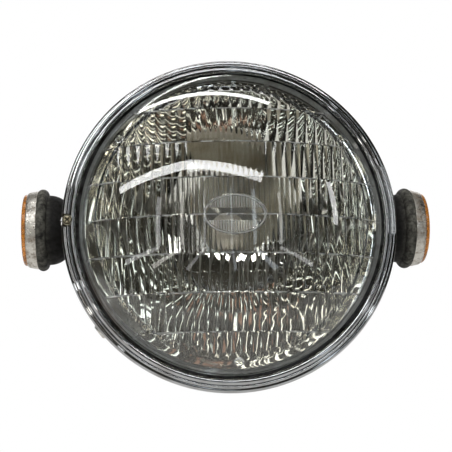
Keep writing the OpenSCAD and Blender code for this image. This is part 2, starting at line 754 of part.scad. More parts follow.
shell();
harness_grommet();
rim();
rim_bracket(-1);  // rim_bracket_left
rim_bracket(1);  // rim_bracket_right
rim_nut(-1);  // rim_nut_left
rim_nut(1);  // rim_nut_right
rim_screw(-1);  // rim_screw_left
rim_screw(1);  // rim_screw_right
pivot_bracket(1);  // pivot_bracket_top
pivot_bracket(-1);  // pivot_bracket_bottom
pivot_pin(1);  // pivot_pin_top
pivot_pin(-1);  // pivot_pin_bottom
aim_seat();
aim_screw();
aim_nut();
aim_spring();
unit_ring();
retainer_ring();
retainer_rivets();
lens();
reflector();
filament_shield();
filament(1);  // filament_low
filament(2);  // filament_high
post(0);  // post_common
post(1);  // post_low
post(2);  // post_high
ferrule(0);  // ferrule_common
ferrule(1);  // ferrule_low
ferrule(2);  // ferrule_high
terminal(0);  // terminal_common
terminal(1);  // terminal_low
terminal(2);  // terminal_high
side_base(-1);  // side_base_left
side_base(1);  // side_base_right
side_bezel(-1);  // side_bezel_left
side_bezel(1);  // side_bezel_right
side_lens(-1);  // side_lens_left
side_lens(1);  // side_lens_right
side_stud(-1);  // side_stud_left
side_stud(1);  // side_stud_right
side_washer(-1);  // side_washer_left
side_washer(1);  // side_washer_right
side_lock_washer(-1);  // side_lock_washer_left
side_lock_washer(1);  // side_lock_washer_right
side_nut(-1);  // side_nut_left
side_nut(1);  // side_nut_right
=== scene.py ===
"""Looks of a round motorcycle headlight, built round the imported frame.

Sizes are in mm until the vertices are made. The beam shines along -Y and +Z is up.
"""

import json
import math

import bmesh
import bpy
from mathutils import Matrix, Vector


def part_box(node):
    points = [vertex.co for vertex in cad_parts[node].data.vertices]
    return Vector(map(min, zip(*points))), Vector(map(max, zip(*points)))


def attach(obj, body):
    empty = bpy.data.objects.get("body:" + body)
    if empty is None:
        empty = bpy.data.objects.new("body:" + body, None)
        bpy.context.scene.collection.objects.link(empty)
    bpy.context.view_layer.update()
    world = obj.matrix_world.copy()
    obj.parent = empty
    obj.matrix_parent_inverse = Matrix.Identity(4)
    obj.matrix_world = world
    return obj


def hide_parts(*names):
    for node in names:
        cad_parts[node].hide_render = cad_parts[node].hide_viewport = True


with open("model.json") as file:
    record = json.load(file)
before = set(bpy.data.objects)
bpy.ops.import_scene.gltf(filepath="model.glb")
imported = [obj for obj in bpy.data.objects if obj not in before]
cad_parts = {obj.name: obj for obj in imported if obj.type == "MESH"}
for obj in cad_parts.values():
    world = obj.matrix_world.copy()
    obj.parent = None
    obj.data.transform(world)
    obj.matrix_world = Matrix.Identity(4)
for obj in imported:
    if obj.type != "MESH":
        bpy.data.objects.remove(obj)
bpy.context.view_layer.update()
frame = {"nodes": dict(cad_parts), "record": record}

MM = 0.001
TAU = 2 * math.pi


def span(node):
    """Lowest and highest corner of a CAD node, in mm."""
    low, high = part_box(node)
    return low / MM, high / MM


def middle(node):
    low, high = span(node)
    return (low + high) / 2


# Places read from the frame
RIM_LOW, RIM_HIGH = span("rim")
BEAM_Z = (RIM_LOW.z + RIM_HIGH.z) / 2
RIM_R = (RIM_HIGH.z - RIM_LOW.z) / 2
LIP_Y = RIM_LOW.y
RIM_BACK_Y = RIM_HIGH.y
LENS_LOW, LENS_HIGH = span("lens")
FLANGE_R = (LENS_HIGH.z - LENS_LOW.z) / 2
APEX_Y = LENS_LOW.y
SEAM_Y = LENS_HIGH.y
SCREW_FRONT_Y = span("aim_screw")[0].y
SCREW_X = middle("aim_screw").x
SCREW_Z = middle("aim_screw").z

# Rim: rolled lip bead, groove, fine bead, sloping band, rounded turn, skirt with a hem
RIM_T = 1.2
RIM_INSIDE_Y = LIP_Y + 2.8
SKIRT_IN_R = RIM_R - RIM_T
BEAD_R = 1.6
GROOVE_W = 0.55
FINE_BEAD_R = 0.55
FINE_BEAD_FALL = 1.15
BAND_FALL = 2.0
TURN_R = 1.9
HEM_R = 0.7
SKIRT_STEP = 2
POCKET_R = 4.4
POCKET_HOLE_R = 2.7
POCKET_FALL = 2.2
POCKET_SOFT = 0.35
POCKET_TURN = 0.3
INSIDE_CORNER_W, INSIDE_CORNER_TOP, INSIDE_CORNER_LOW = 1.2, 0.8, 2.2
INSIDE_FACE_W = 4.2

# Recess in the aiming screw's head
RECESS_R = 2.6
RECESS_H = 2.4

# Glass
FLANGE_T = 1.5
SHOULDER_R = FLANGE_R - 4
LIP_R = SHOULDER_R + 2.2
CORNER_R = 2.6
FACE_R = SHOULDER_R - CORNER_R
DOME_Y = LIP_Y - 4
DOME_STEPS = 44
SHOULDER_STEPS = 4
DOME_H = DOME_Y - APEX_Y
DOME_R = (FACE_R**2 + DOME_H**2) / (2 * DOME_H)
DOME_CY = APEX_Y + DOME_R
GLASS_T = 3.5
INNER_R = DOME_R - GLASS_T
CAVITY_R = FACE_R - 1.6
ROW_H = 20.5
FLUTE_W = 5.6
FLUTE_DEPTH = 0.36
FINE_W = 2.8
FINE_DEPTH = 0.15
FINE_HALF = 33.0
PLAIN_LEFT, PLAIN_RIGHT = -25.0, 17.0
PLAIN_RIB = 0.13
OVAL_W, OVAL_H = 32.0, 20.5
OVAL_EDGE = 0.05
OVAL_RIDGE = 0.35
OVAL_RIB_W = 1.4
OVAL_RIB = 0.22
OVAL_FIELD = 0.3
OVAL_BAND_FIELD = 0.1
OVAL_BAND_HALF = 3.4
CORE_R = INNER_R - FLUTE_DEPTH - 0.4
FLUTE_ZONE_R = CAVITY_R - 6
FLUTE_FADE = 0.8
COLUMN = 0.35
ROW_STEPS, FINE_ROW_STEPS = 12, 44
JOINT_HALF = 0.38
JOINT_LAND = 0.1
JOINT_BEAD = 0.22

# Moulded studs and nubs inside the glass
STUDS = ((76.6, 0.0, 0.75), (78.4, 1.5, 0.6))
STUD_PITCH = 3.0
STUD_SIDES = 10
STUD_RINGS = 4
STUD_TALL = 0.7
STUD_SINK = 0.05
NUB_R, NUB_SIZE = 77.2, 2.8
NUB_TURNS = (-53, 53, 178)

# Reflector
BOWL_T = 2.6
FOCAL = 28.0
BOWL_R = CAVITY_R
BOWL_CAP_R = 22.0
VERTEX_Y = SEAM_Y + BOWL_R**2 / (4 * FOCAL)

# Filament coils
COIL_WIRE = 0.16
COIL_TURNS = 11
COIL_STEPS, COIL_SIDES = 18, 6

# Side reflectors: rubber base, bezel, amber lens
BASE_NECK_R = 16.5
BASE_BORE_R = 4.4
BASE_NECK_L = 10.2
BASE_RIM_L = 6.8
BASE_ROUND = 3.4
BEZEL_BORE_R = 3.4
BEZEL_BACK_W, BEZEL_BACK_R = 1.6, 0.6
BEZEL_FRONT_W, BEZEL_FRONT_R = 2.1, 1.2
BEZEL_FLOOR_T = 1.2
AMBER_CUP_H, AMBER_CUP_W = 2.0, 1.2
AMBER_EDGE_R = 1.3
AMBER_CROWN = 0.6
PRISM_PITCH = 2.3
PRISM_H = 1.5
PRISM_PLATE_T = 0.4
PRISM_SINK = 0.35
HEX_ROW, HEX_CORNER = 0.866, 0.577


def on_beam(r, along, turn):
    """A point at radius r from the beam axis; turn 0 is the top."""
    return Vector((r * math.sin(turn), along, BEAM_Z + r * math.cos(turn))) * MM


def on_side(side):
    """Points round the mounting axis of the right (1) or left (-1) side."""
    return lambda r, along, turn: Vector((side * along, r * math.cos(turn), r * math.sin(turn))) * MM


def arc(cx, cy, r, start, end, steps):
    """Points of an arc from one angle to another, in degrees."""
    angles = [math.radians(start + (end - start) * i / steps) for i in range(steps + 1)]
    return [(cx + r * math.cos(a), cy + r * math.sin(a)) for a in angles]


def turned(profile, place, segments):
    """Turns a closed outline of (radius, along) points."""
    bm = bmesh.new()
    rings = []
    for r, along in profile:
        count = 1 if r < 1e-6 else segments
        rings.append([bm.verts.new(place(r, along, TAU * i / segments)) for i in range(count)])
    for ring, after in zip(rings, rings[1:] + rings[:1]):
        for i in range(segments):
            here, then = i, i + 1
            corners = [ring[here % len(ring)], ring[then % len(ring)]]
            corners += [after[then % len(after)], after[here % len(after)]]
            corners = list(dict.fromkeys(corners))
            if len(corners) > 2:
                bm.faces.new(corners)
    return bm


def add(name, bm, body, material, replaces=(), sharp=34):
    """Makes a piece from a bmesh and lets it ride on a body."""
    bmesh.ops.recalc_face_normals(bm, faces=bm.faces)
    mesh = bpy.data.meshes.new(name)
    bm.to_mesh(mesh)
    bm.free()
    mesh.shade_smooth()
    mesh.set_sharp_from_angle(angle=math.radians(sharp))
    mesh.materials.append(material)
    obj = bpy.data.objects.new(name, mesh)
    bpy.context.scene.collection.objects.link(obj)
    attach(obj, body)
    if replaces:
        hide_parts(*replaces)
    return obj


def cut(bm, *tools):
    """Takes other bmeshes out of a bmesh."""
    keep = []
    for source in (bm, *tools):
        bmesh.ops.recalc_face_normals(source, faces=source.faces)
        mesh = bpy.data.meshes.new("cutting")
        source.to_mesh(mesh)
        source.free()
        obj = bpy.data.objects.new("cutting", mesh)
        bpy.context.scene.collection.objects.link(obj)
        keep.append(obj)
    for tool in keep[1:]:
        modifier = keep[0].modifiers.new("cut", "BOOLEAN")
        modifier.operation = "DIFFERENCE"
        modifier.solver = "EXACT"
        modifier.object = tool
    result = bmesh.new()
    result.from_object(keep[0], bpy.context.evaluated_depsgraph_get())
    for obj in keep:
        mesh = obj.data
        bpy.data.objects.remove(obj)
        bpy.data.meshes.remove(mesh)
    return result


def rod(start, end, r, segments):
    """A closed round bar between two points, in mm."""
    start, end = Vector(start), Vector(end)
    along = end - start
    turn = along.to_track_quat("Z", "Y")

    def place(radius, z, angle):
        return (start + turn @ Vector((radius * math.cos(angle), radius * math.sin(angle), z))) * MM

    return turned([(0, 0), (r, 0), (r, along.length), (0, along.length)], place, segments)


def join_rings(bm, rings):
    """Faces between rings of as many corners."""
    for ring, after in zip(rings, rings[1:]):
        for i in range(len(ring)):
            then = (i + 1) % len(ring)
            bm.faces.new((ring[i], ring[then], after[then], after[i]))


def copy_of(node):
    """The shape of a CAD node as a new bmesh with joined corners."""
    source = frame["nodes"][node].data
    bm = bmesh.new()
    bm.from_mesh(source)
    bmesh.ops.remove_doubles(bm, verts=bm.verts, dist=1e-6)
    return bm


class Finish:
    """A procedural node material while it is put together."""

    def __init__(self, name):
        self.material = bpy.data.materials.new(name)
        self.material.use_nodes = True
        self.tree = self.material.node_tree
        self.tree.nodes.clear()
        self.out = self.tree.nodes.new("ShaderNodeOutputMaterial")
        self.place = self.tree.nodes.new("ShaderNodeTexCoord").outputs["Object"]

    def link(self, value, socket):
        if isinstance(value, bpy.types.NodeSocket):
            self.tree.links.new(value, socket)
        elif isinstance(value, (tuple, list)) and len(value) == 3 and socket.type == "RGBA":
            socket.default_value = (*value, 1)
        else:
            socket.default_value = value

    def noise(self, size, detail=5, rough=0.55, stretch=(1, 1, 1)):
        """Noise whose features are about size mm across."""
        shift = self.tree.nodes.new("ShaderNodeMapping")
        self.link(self.place, shift.inputs["Vector"])
        shift.inputs["Scale"].default_value = [s / (size * MM) for s in stretch]
        node = self.tree.nodes.new("ShaderNodeTexNoise")
        self.link(shift.outputs["Vector"], node.inputs["Vector"])
        node.inputs["Scale"].default_value = 1
        node.inputs["Detail"].default_value = detail
        node.inputs["Roughness"].default_value = rough
        return node.outputs["Fac"]

    def cells(self, size):
        """Distance to the middle of cells about size mm across."""
        node = self.tree.nodes.new("ShaderNodeTexVoronoi")
        self.link(self.place, node.inputs["Vector"])
        node.inputs["Scale"].default_value = 1 / (size * MM)
        return node.outputs["Distance"]

    def range(self, value, low, high, to_low=0.0, to_high=1.0):
        node = self.tree.nodes.new("ShaderNodeMapRange")
        node.interpolation_type = "SMOOTHSTEP"
        self.link(value, node.inputs["Value"])
        for name, number in (("From Min", low), ("From Max", high), ("To Min", to_low), ("To Max", to_high)):
            node.inputs[name].default_value = number
        return node.outputs["Result"]

    def math(self, kind, a, b=0.0):
        node = self.tree.nodes.new("ShaderNodeMath")
        node.operation = kind
        self.link(a, node.inputs[0])
        self.link(b, node.inputs[1])
        return node.outputs["Value"]

    def axis(self, name):
        node = self.tree.nodes.new("ShaderNodeSeparateXYZ")
        self.link(self.place, node.inputs["Vector"])
        return node.outputs[name]

    def mix(self, share, a, b):
        node = self.tree.nodes.new("ShaderNodeMix")
        node.data_type = "RGBA"
        self.link(share, node.inputs["Factor"])
        self.link(a, node.inputs["A"])
        self.link(b, node.inputs["B"])
        return node.outputs["Result"]

    def bump(self, height, depth, strength):
        node = self.tree.nodes.new("ShaderNodeBump")
        node.inputs["Strength"].default_value = strength
        node.inputs["Distance"].default_value = depth * MM
        self.link(height, node.inputs["Height"])
        return node.outputs["Normal"]

    def shader(self, **values):
        node = self.tree.nodes.new("ShaderNodeBsdfPrincipled")
        for name, value in values.items():
            self.link(value, node.inputs[name.replace("_", " ")])
        return node.outputs["BSDF"]

    def blend(self, share, a, b):
        node = self.tree.nodes.new("ShaderNodeMixShader")
        self.link(share, node.inputs["Fac"])
        self.tree.links.new(a, node.inputs[1])
        self.tree.links.new(b, node.inputs[2])
        return node.outputs["Shader"]

    def done(self, shader):
        self.tree.links.new(shader, self.out.inputs["Surface"])
        return self.material


def plated(name, light, dark, smooth=0.18, worn=0.42, grain=6.0):
    """Plated or bare metal with stains and fine scratches."""
    f = Finish(name)
    stain = f.range(f.noise(grain), 0.42, 0.68)
    fine = f.noise(0.5, detail=3)
    return f.done(
        f.shader(
            Base_Color=f.mix(stain, light, dark),
            Metallic=1.0,
            Roughness=f.range(f.noise(grain / 3), 0.3, 0.7, smooth, worn),
            Normal=f.bump(fine, 0.05, 0.35),
        )
    )


def chrome_finish():
    f = Finish("rim_chrome")
    haze = f.range(f.noise(14), 0.4, 0.75)
    specks = f.range(f.noise(0.9, detail=3), 0.66, 0.74)
    dust = f.math("MULTIPLY", f.range(f.noise(7, detail=8, rough=0.7), 0.5, 0.8), 0.35)
    dust = f.math("MAXIMUM", dust, f.math("MULTIPLY", specks, 0.55))
    metal = f.shader(
        Base_Color=f.mix(haze, (0.43, 0.44, 0.45), (0.3, 0.3, 0.295)),
        Metallic=1.0,
        Roughness=f.range(f.noise(4, stretch=(1, 3, 1)), 0.35, 0.75, 0.025, 0.06),
        Normal=f.bump(f.noise(9), 0.006, 0.15),
    )
    grime = f.shader(Base_Color=f.mix(f.noise(2), (0.2, 0.18, 0.15), (0.32, 0.31, 0.28)), Roughness=0.8)
    return f.done(f.blend(f.math("MULTIPLY", dust, 0.25), metal, grime))


def glass_finish():
    f = Finish("clear_glass")
    film = f.range(f.noise(22, detail=7), 0.45, 0.8, 0.0, 0.02)
    specks = f.range(f.noise(0.8, detail=2), 0.7, 0.78, 0.0, 0.25)
    glass = f.shader(
        Base_Color=f.mix(f.noise(30), (0.955, 0.97, 0.955), (0.975, 0.985, 0.975)),
        Roughness=0.0,
        IOR=1.51,
        Transmission_Weight=1.0,
    )
    dust = f.shader(Base_Color=f.mix(f.noise(3), (0.36, 0.34, 0.3), (0.5, 0.49, 0.45)), Roughness=0.9)
    # What is pressed into the inside of the glass scatters light: the oval's ribs. The joints between rows
    # get pale matte lines in parts, a painted highlight for their bright glints.
    height = f.math("SUBTRACT", f.axis("Z"), BEAM_Z * MM)
    across = f.math("MULTIPLY", f.axis("X"), 2 / (OVAL_W * MM))
    up = f.math("MULTIPLY", height, 2 / (OVAL_H * MM))
    off = f.math("ADD", f.math("MULTIPLY", across, across), f.math("MULTIPLY", up, up))
    ribs = f.range(f.math("PINGPONG", f.axis("X"), OVAL_RIB_W / 2 * MM), 0.1 * MM, 0.6 * MM, 0.16, 0.5)
    band = f.range(f.math("ABSOLUTE", height), 3.2 * MM, 3.6 * MM)
    field = f.math("ADD", f.math("MULTIPLY", ribs, band), 0.12)
    frost = f.math("MULTIPLY", f.range(off, 0.86, 0.9, 1.0, 0.0), field)
    outline = f.range(f.math("ABSOLUTE", f.math("SUBTRACT", off, 1.0)), 0.04, 0.09, 0.6, 0.0)
    frost = f.math("MAXIMUM", frost, outline)
    # Pale matte lines along the row joints, in parts: painted highlight
    row = f.math("PINGPONG", f.math("ADD", height, 10 * ROW_H * MM), ROW_H * MM / 2)
    joint_glint = f.math("MULTIPLY", f.range(row, 0.25 * MM, 0.55 * MM, 0.75, 0.0), f.range(f.noise(7), 0.4, 0.62))
    depth = f.math("SUBTRACT", f.axis("Y"), DOME_CY * MM)
    reach = f.math("MULTIPLY", f.axis("X"), f.axis("X"))
    for part in (depth, height):
        reach = f.math("ADD", reach, f.math("MULTIPLY", part, part))
    within = f.range(f.math("SQRT", reach), (INNER_R + 0.6) * MM, (INNER_R + 1.2) * MM, 1.0, 0.0)
    frost_and_glint = f.math("MULTIPLY", f.math("MAXIMUM", frost, joint_glint), within)
    matte = f.shader(Base_Color=f.mix(f.noise(2), (0.8, 0.81, 0.8), (0.68, 0.69, 0.67)), Roughness=0.6)
    return f.done(f.blend(frost_and_glint, f.blend(f.math("MAXIMUM", film, specks), glass, dust), matte))


def mirror_finish():
    f = Finish("mirror_coat")
    haze = f.range(f.noise(16, detail=7), 0.45, 0.75)
    coat = f.shader(
        Base_Color=f.mix(haze, (0.83, 0.82, 0.77), (0.66, 0.62, 0.54)),
        Metallic=1.0,
        Roughness=f.range(f.noise(9), 0.4, 0.8, 0.02, 0.05),
        Normal=f.bump(f.noise(30, detail=1), 0.03, 0.05),
    )
    film = f.shader(Base_Color=f.mix(f.noise(1.5), (0.2, 0.18, 0.14), (0.34, 0.31, 0.26)), Roughness=0.9)
    return f.done(f.blend(f.range(f.noise(5, detail=8, rough=0.7), 0.5, 0.85, 0.01, 0.12), coat, film))


def paint_finish():
    f = Finish("shell_paint")
    dust = f.range(f.noise(12, detail=8, rough=0.7), 0.48, 0.8, 0.0, 0.3)
    paint = f.shader(
        Base_Color=f.mix(f.noise(20), (0.012, 0.012, 0.013), (0.022, 0.022, 0.023)),
        Roughness=f.range(f.noise(6), 0.3, 0.7, 0.22, 0.4),
        Coat_Weight=0.5,
        Coat_Roughness=0.12,
        Normal=f.bump(f.noise(1.2), 0.03, 0.2),
    )
    film = f.shader(Base_Color=f.mix(f.noise(0.8), (0.13, 0.12, 0.1), (0.2, 0.19, 0.17)), Roughness=0.9)
    return f.done(f.blend(dust, paint, film))


def rubber_finish(name, pale_from, pale_to, most):
    """Black rubber with dust patches, paler from one distance off the middle of the lamp to another, in mm;
    on the side reflectors the paler outer rim is dust and a painted highlight, and the black neck is painted
    shade.
    """
    f = Finish(name)
    reach = f.math("ABSOLUTE", f.axis("X"))
    # Paler towards the outer rim: dust, and on the side reflectors also a painted highlight
    edge = f.range(reach, pale_from * MM, pale_to * MM)
    patches = f.range(f.noise(5, detail=9, rough=0.72), 0.3, 0.62)
    share = f.math("MULTIPLY", f.math("ADD", f.math("MULTIPLY", edge, 0.97), 0.03), patches)
    dark = f.mix(f.noise(4), (0.003, 0.003, 0.003), (0.008, 0.0075, 0.007))
    pale = f.mix(f.range(f.noise(2.2, detail=6), 0.35, 0.65), (0.07, 0.067, 0.056), (0.165, 0.162, 0.137))
    return f.done(
        f.shader(
            Base_Color=f.mix(f.math("MULTIPLY", share, most), dark, pale),
            Roughness=f.range(f.noise(3), 0.3, 0.7, 0.6, 0.9),
            Specular_IOR_Level=0.2,
            Normal=f.bump(f.noise(0.9, detail=6), 0.12, 0.6),
        )
    )


def bezel_finish():
    f = Finish("bezel_metal")
    rust = f.range(f.noise(3.4, detail=8, rough=0.7), 0.46, 0.64)
    pits = f.range(f.cells(1.3), 0.12, 0.45)
    metal = f.shader(
        Base_Color=f.mix(f.noise(2), (0.7, 0.68, 0.64), (0.46, 0.44, 0.39)),
        Metallic=1.0,
        Roughness=f.range(f.noise(1.6), 0.3, 0.7, 0.25, 0.5),
        Normal=f.bump(pits, 0.14, 0.7),
    )
    crust = f.shader(
        Base_Color=f.mix(f.noise(1.2), (0.09, 0.065, 0.045), (0.27, 0.22, 0.16)),
        Roughness=0.85,
        Normal=f.bump(f.noise(0.7), 0.15, 0.6),
    )
    return f.done(f.blend(f.math("MULTIPLY", rust, 0.75), metal, crust))


def amber_finish(name, through):
    f = Finish(name)
    cloudy = f.range(f.noise(2.6, detail=7), 0.4, 0.72)
    return f.done(
        f.shader(
            Base_Color=f.mix(cloudy, (0.86, 0.34, 0.05), (0.5, 0.2, 0.045)),
            Roughness=f.range(f.noise(1.4), 0.3, 0.7, 0.12, 0.4),
            IOR=1.49,
            Transmission_Weight=through,
            Normal=f.bump(f.noise(1.1), 0.05, 0.3),
        )
    )


def seal_finish():
    f = Finish("flange_seal")
    age = f.range(f.noise(5, detail=7), 0.35, 0.7)
    return f.done(
        f.shader(
            Base_Color=f.mix(age, (0.44, 0.45, 0.44), (0.28, 0.28, 0.26)),
            Roughness=0.7,
            Normal=f.bump(f.noise(1.5), 0.1, 0.4),
        )
    )


CHROME = chrome_finish()
SEAL = seal_finish()
GLASS = glass_finish()
MIRROR = mirror_finish()
PAINT = paint_finish()
# Side reflector rubber: the pale outer rim is dust and painted highlight, the black neck is painted shade
SIDE_RUBBER_DUST_AND_SHEEN = rubber_finish("side_rubber", 102, 109, 0.7)
BLACK_RUBBER = rubber_finish("black_rubber", 0, 30, 0.4)
BEZEL = bezel_finish()
AMBER = amber_finish("amber_lens", 0.75)
AMBER_PRISM = amber_finish("amber_prism", 0.15)
PLATED = plated("plated_steel", (0.58, 0.57, 0.53), (0.4, 0.37, 0.31))
SCREW_STEEL = plated("screw_steel", (0.62, 0.61, 0.58), (0.36, 0.33, 0.28))
YELLOW_PLATE = plated("yellow_plate", (0.5, 0.46, 0.32), (0.16, 0.13, 0.08), 0.2, 0.45, 1.6)
# Nearly black steel for the aiming screw's seat plate and the recess in its head: dirt and painted shade
SEAT_DIRT_AND_SHADE = plated("seat_dirt_and_shade", (0.07, 0.065, 0.05), (0.02, 0.018, 0.014), 0.4, 0.7, 2)
SPRING_STEEL = plated("spring_steel", (0.42, 0.42, 0.42), (0.22, 0.21, 0.19))
# Nearly black steel for the unit ring: painted shade in the gap between rim and glass, where the ring shows
RING_STEEL_SHADED = plated("ring_steel", (0.09, 0.09, 0.09), (0.03, 0.028, 0.025), 0.35, 0.6)
SHIELD = plated("shield_metal", (0.66, 0.61, 0.52), (0.5, 0.45, 0.36), 0.3, 0.55, 4)
WIRE = plated("filament_wire", (0.4, 0.39, 0.37), (0.2, 0.19, 0.18), 0.25, 0.5, 2)
BRASS = plated("terminal_brass", (0.72, 0.6, 0.33), (0.4, 0.31, 0.16))
FINISHES = {
    "shell_paint": PAINT,
    "black_rubber": BLACK_RUBBER,
    "rim_chrome": CHROME,
    "plated_steel": PLATED,
    "screw_steel": SCREW_STEEL,
    "yellow_plate": YELLOW_PLATE,
    "spring_steel": SPRING_STEEL,
    "ring_steel": RING_STEEL_SHADED,
    "clear_glass": GLASS,
    "mirror_coat": MIRROR,
    "shield_metal": SHIELD,
    "filament_wire": WIRE,
    "terminal_brass": BRASS,
    "side_rubber": SIDE_RUBBER_DUST_AND_SHEEN,
    "bezel_metal": BEZEL,
    "amber_lens": AMBER,
}
NODE_SLOT = {s["node"]: s["material_slot"] for s in frame["record"]["subparts"]}
NODE_BODY = {n: body for body, nodes in frame["record"]["behaviour"]["bodies"].items() for n in nodes}


def round_out(profile_r, turn):
    """Radius of the rim's skin where it swells round the aiming screw."""
    screw_turn = math.atan2(SCREW_X, SCREW_Z - BEAM_Z)
    reach = math.hypot(SCREW_X, SCREW_Z - BEAM_Z)
    off = math.remainder(turn - screw_turn, TAU)
    across = reach * math.sin(off)
    if abs(off) > POCKET_TURN or abs(across) >= POCKET_R:
        return profile_r
    swell = reach * math.cos(off) + math.sqrt(POCKET_R**2 - across**2)
    return profile_r + POCKET_SOFT * math.log1p(math.exp(min((swell - profile_r) / POCKET_SOFT, 20)))


def make_rim():
    bead_out_r = LIP_R + 2 * BEAD_R
    outside = [(LIP_R, RIM_INSIDE_Y)]
    outside += arc(LIP_R + BEAD_R, LIP_Y + BEAD_R, BEAD_R, 180, 330, 22)
    fine_x, fine_y = bead_out_r + FINE_BEAD_R + GROOVE_W, LIP_Y + FINE_BEAD_FALL + FINE_BEAD_R
    outside += arc(fine_x, fine_y, FINE_BEAD_R, 200, 350, 12)
    outside += arc(RIM_R - TURN_R, LIP_Y + BAND_FALL + TURN_R, TURN_R, 262, 360, 18)
    outside += [(RIM_R, RIM_BACK_Y - SKIRT_STEP * i) for i in range(5, 0, -1)]
    outside += arc(RIM_R - HEM_R, RIM_BACK_Y - HEM_R, HEM_R, 0, 80, 8)
    inside = [
        (RIM_R - HEM_R, RIM_BACK_Y),
        (SKIRT_IN_R, RIM_BACK_Y),
        (SKIRT_IN_R, RIM_INSIDE_Y + INSIDE_CORNER_LOW),
        (SKIRT_IN_R - INSIDE_CORNER_W, RIM_INSIDE_Y + INSIDE_CORNER_TOP),
        (LIP_R + INSIDE_FACE_W, RIM_INSIDE_Y),
    ]

    def place(radius, along, angle):
        if radius > SKIRT_IN_R + 0.05 and along > LIP_Y + POCKET_FALL:
            radius = round_out(radius, angle)
        return on_beam(radius, along, angle)

    body = turned(outside + inside, place, 360)
    hole = rod((SCREW_X, LIP_Y - 2, SCREW_Z), (SCREW_X, LIP_Y + 8, SCREW_Z), POCKET_HOLE_R, 48)
    add("rim_skin", cut(body, hole), "housing", CHROME, ["rim"])


def core_y(x, z, ribs=0.0):
    """Place along Y of the smooth inside of the glass."""
    r = CORE_R + ribs
    off = min(math.hypot(x, z), CAVITY_R + 2)
    return DOME_CY - math.sqrt(r * r - off * off)


def flute_depth(x, row):
    """How far the inside of the glass stands in from the deepest line of its flute."""
    if row in (-1, 0) and abs(x) < FINE_HALF:
        width, depth = FINE_W, FINE_DEPTH
    else:
        width, depth = FLUTE_W, FLUTE_DEPTH
    phase = math.remainder(x - (width / 2 if row % 2 else 0), width) / (width / 2)
    return depth * phase * phase


def inner_y(x, z, row):
    """Place along Y of the inside of the glass, in a row of flutes or outside them."""
    if row in (-1, 0):
        oval = math.hypot(2 * x / OVAL_W, 2 * z / OVAL_H)
        if oval < 1 - OVAL_EDGE:
            rib = 2 * abs(math.remainder(x, OVAL_RIB_W)) / OVAL_RIB_W
            return core_y(x, z, OVAL_BAND_FIELD if abs(z) < OVAL_BAND_HALF else OVAL_FIELD + OVAL_RIB * rib)
        if oval < 1 + OVAL_EDGE:
            return core_y(x, z, -OVAL_RIDGE * (1 - abs(oval - 1) / OVAL_EDGE))
    if row in (1, 2) and PLAIN_LEFT < x < PLAIN_RIGHT:
        return core_y(x, z, PLAIN_RIB * abs(math.remainder(x, FINE_W)) / FINE_W)
    edge = min(max((math.hypot(x, z) - FLUTE_ZONE_R) / FLUTE_FADE + 0.5, 0), 1)
    if edge == 1:
        return core_y(x, z)
    mid_z = (row + 0.5) * ROW_H
    tilt = math.asin(math.copysign(min(abs(mid_z), CAVITY_R - ROW_H / 4), mid_z) / INNER_R)
    r = INNER_R - flute_depth(x, row)
    prism = DOME_CY + (math.sin(tilt) * z - math.sqrt(r * r - x * x)) / math.cos(tilt)
    return prism * (1 - edge) + core_y(x, z) * edge


def glass_lines():
    """The lines of the fluted grid: height, row and how far the joint between rows stands in."""
    low, high = -CAVITY_R - 1, CAVITY_R + 1
    lines = []
    for row in range(-4, 4):
        steps = FINE_ROW_STEPS if row in (-1, 0) else ROW_STEPS
        bottom, top = row * ROW_H, (row + 1) * ROW_H
        lines += [(bottom + JOINT_LAND, row, JOINT_BEAD), (bottom + JOINT_HALF, row, 0)]
        lines += [((row + i / steps) * ROW_H, row, 0) for i in range(1, steps)]
        lines += [(top - JOINT_HALF, row, 0), (top - JOINT_LAND, row, JOINT_BEAD)]
    return [(min(max(z, low), high), row, bead) for z, row, bead in lines]


def make_glass():
    dome_a = math.degrees(math.acos(FACE_R / DOME_R))
    flange_y = SEAM_Y - FLANGE_T
    wall_l = DOME_Y + CORNER_R - flange_y
    outline = [(0, SEAM_Y), (FLANGE_R, SEAM_Y), (FLANGE_R, flange_y), (SHOULDER_R, flange_y)]
    outline += [(SHOULDER_R, flange_y + wall_l * i / SHOULDER_STEPS) for i in range(1, SHOULDER_STEPS)]
    outline += arc(FACE_R, DOME_Y + CORNER_R, CORNER_R, 0, dome_a - 80, 14)
    outline += arc(0, DOME_CY, DOME_R, -dome_a, -90, DOME_STEPS)[:-1]
    outline += [(0, APEX_Y)]
    outer = turned(outline, on_beam, 288)

    # The hollow: a height field of flutes in front and a flat back, trimmed to a round plug
    lines = glass_lines()
    columns = int(2 * (CAVITY_R + 1.4) / COLUMN / 2) * 2
    xs = [(i - columns / 2) * COLUMN for i in range(columns + 1)]
    back_y = SEAM_Y + 4
    bm = bmesh.new()

    def corner(x, y, z):
        return bm.verts.new(Vector((x, y, BEAM_Z + z)) * MM)

    grid = [[corner(x, inner_y(x, z, row) + bead, z) for x in xs] for z, row, bead in lines]
    back = [[corner(x, back_y, z) for x in (xs[0], xs[-1])] for z, _, _ in lines]
    for j in range(len(lines) - 1):
        for i in range(columns):
            bm.faces.new((grid[j][i], grid[j][i + 1], grid[j + 1][i + 1], grid[j + 1][i]))
        bm.faces.new((grid[j][0], grid[j + 1][0], back[j + 1][0], back[j][0]))
        bm.faces.new((grid[j][-1], back[j][1], back[j + 1][1], grid[j + 1][-1]))
        bm.faces.new((back[j][0], back[j + 1][0], back[j + 1][1], back[j][1]))
    bm.faces.new([*grid[0], back[0][1], back[0][0]])
    bm.faces.new([*reversed(grid[-1]), back[-1][0], back[-1][1]])

    front_y, end_y, outer_r = APEX_Y - 4, back_y + 4, CAVITY_R + 20
    round_cut = turned(
        [(CAVITY_R, front_y), (outer_r, front_y), (outer_r, end_y), (CAVITY_R, end_y)], on_beam, 288
    )
    hollow = cut(bm, round_cut)
    add("front_glass", cut(outer, hollow), "beam", GLASS, ["lens"], 24)


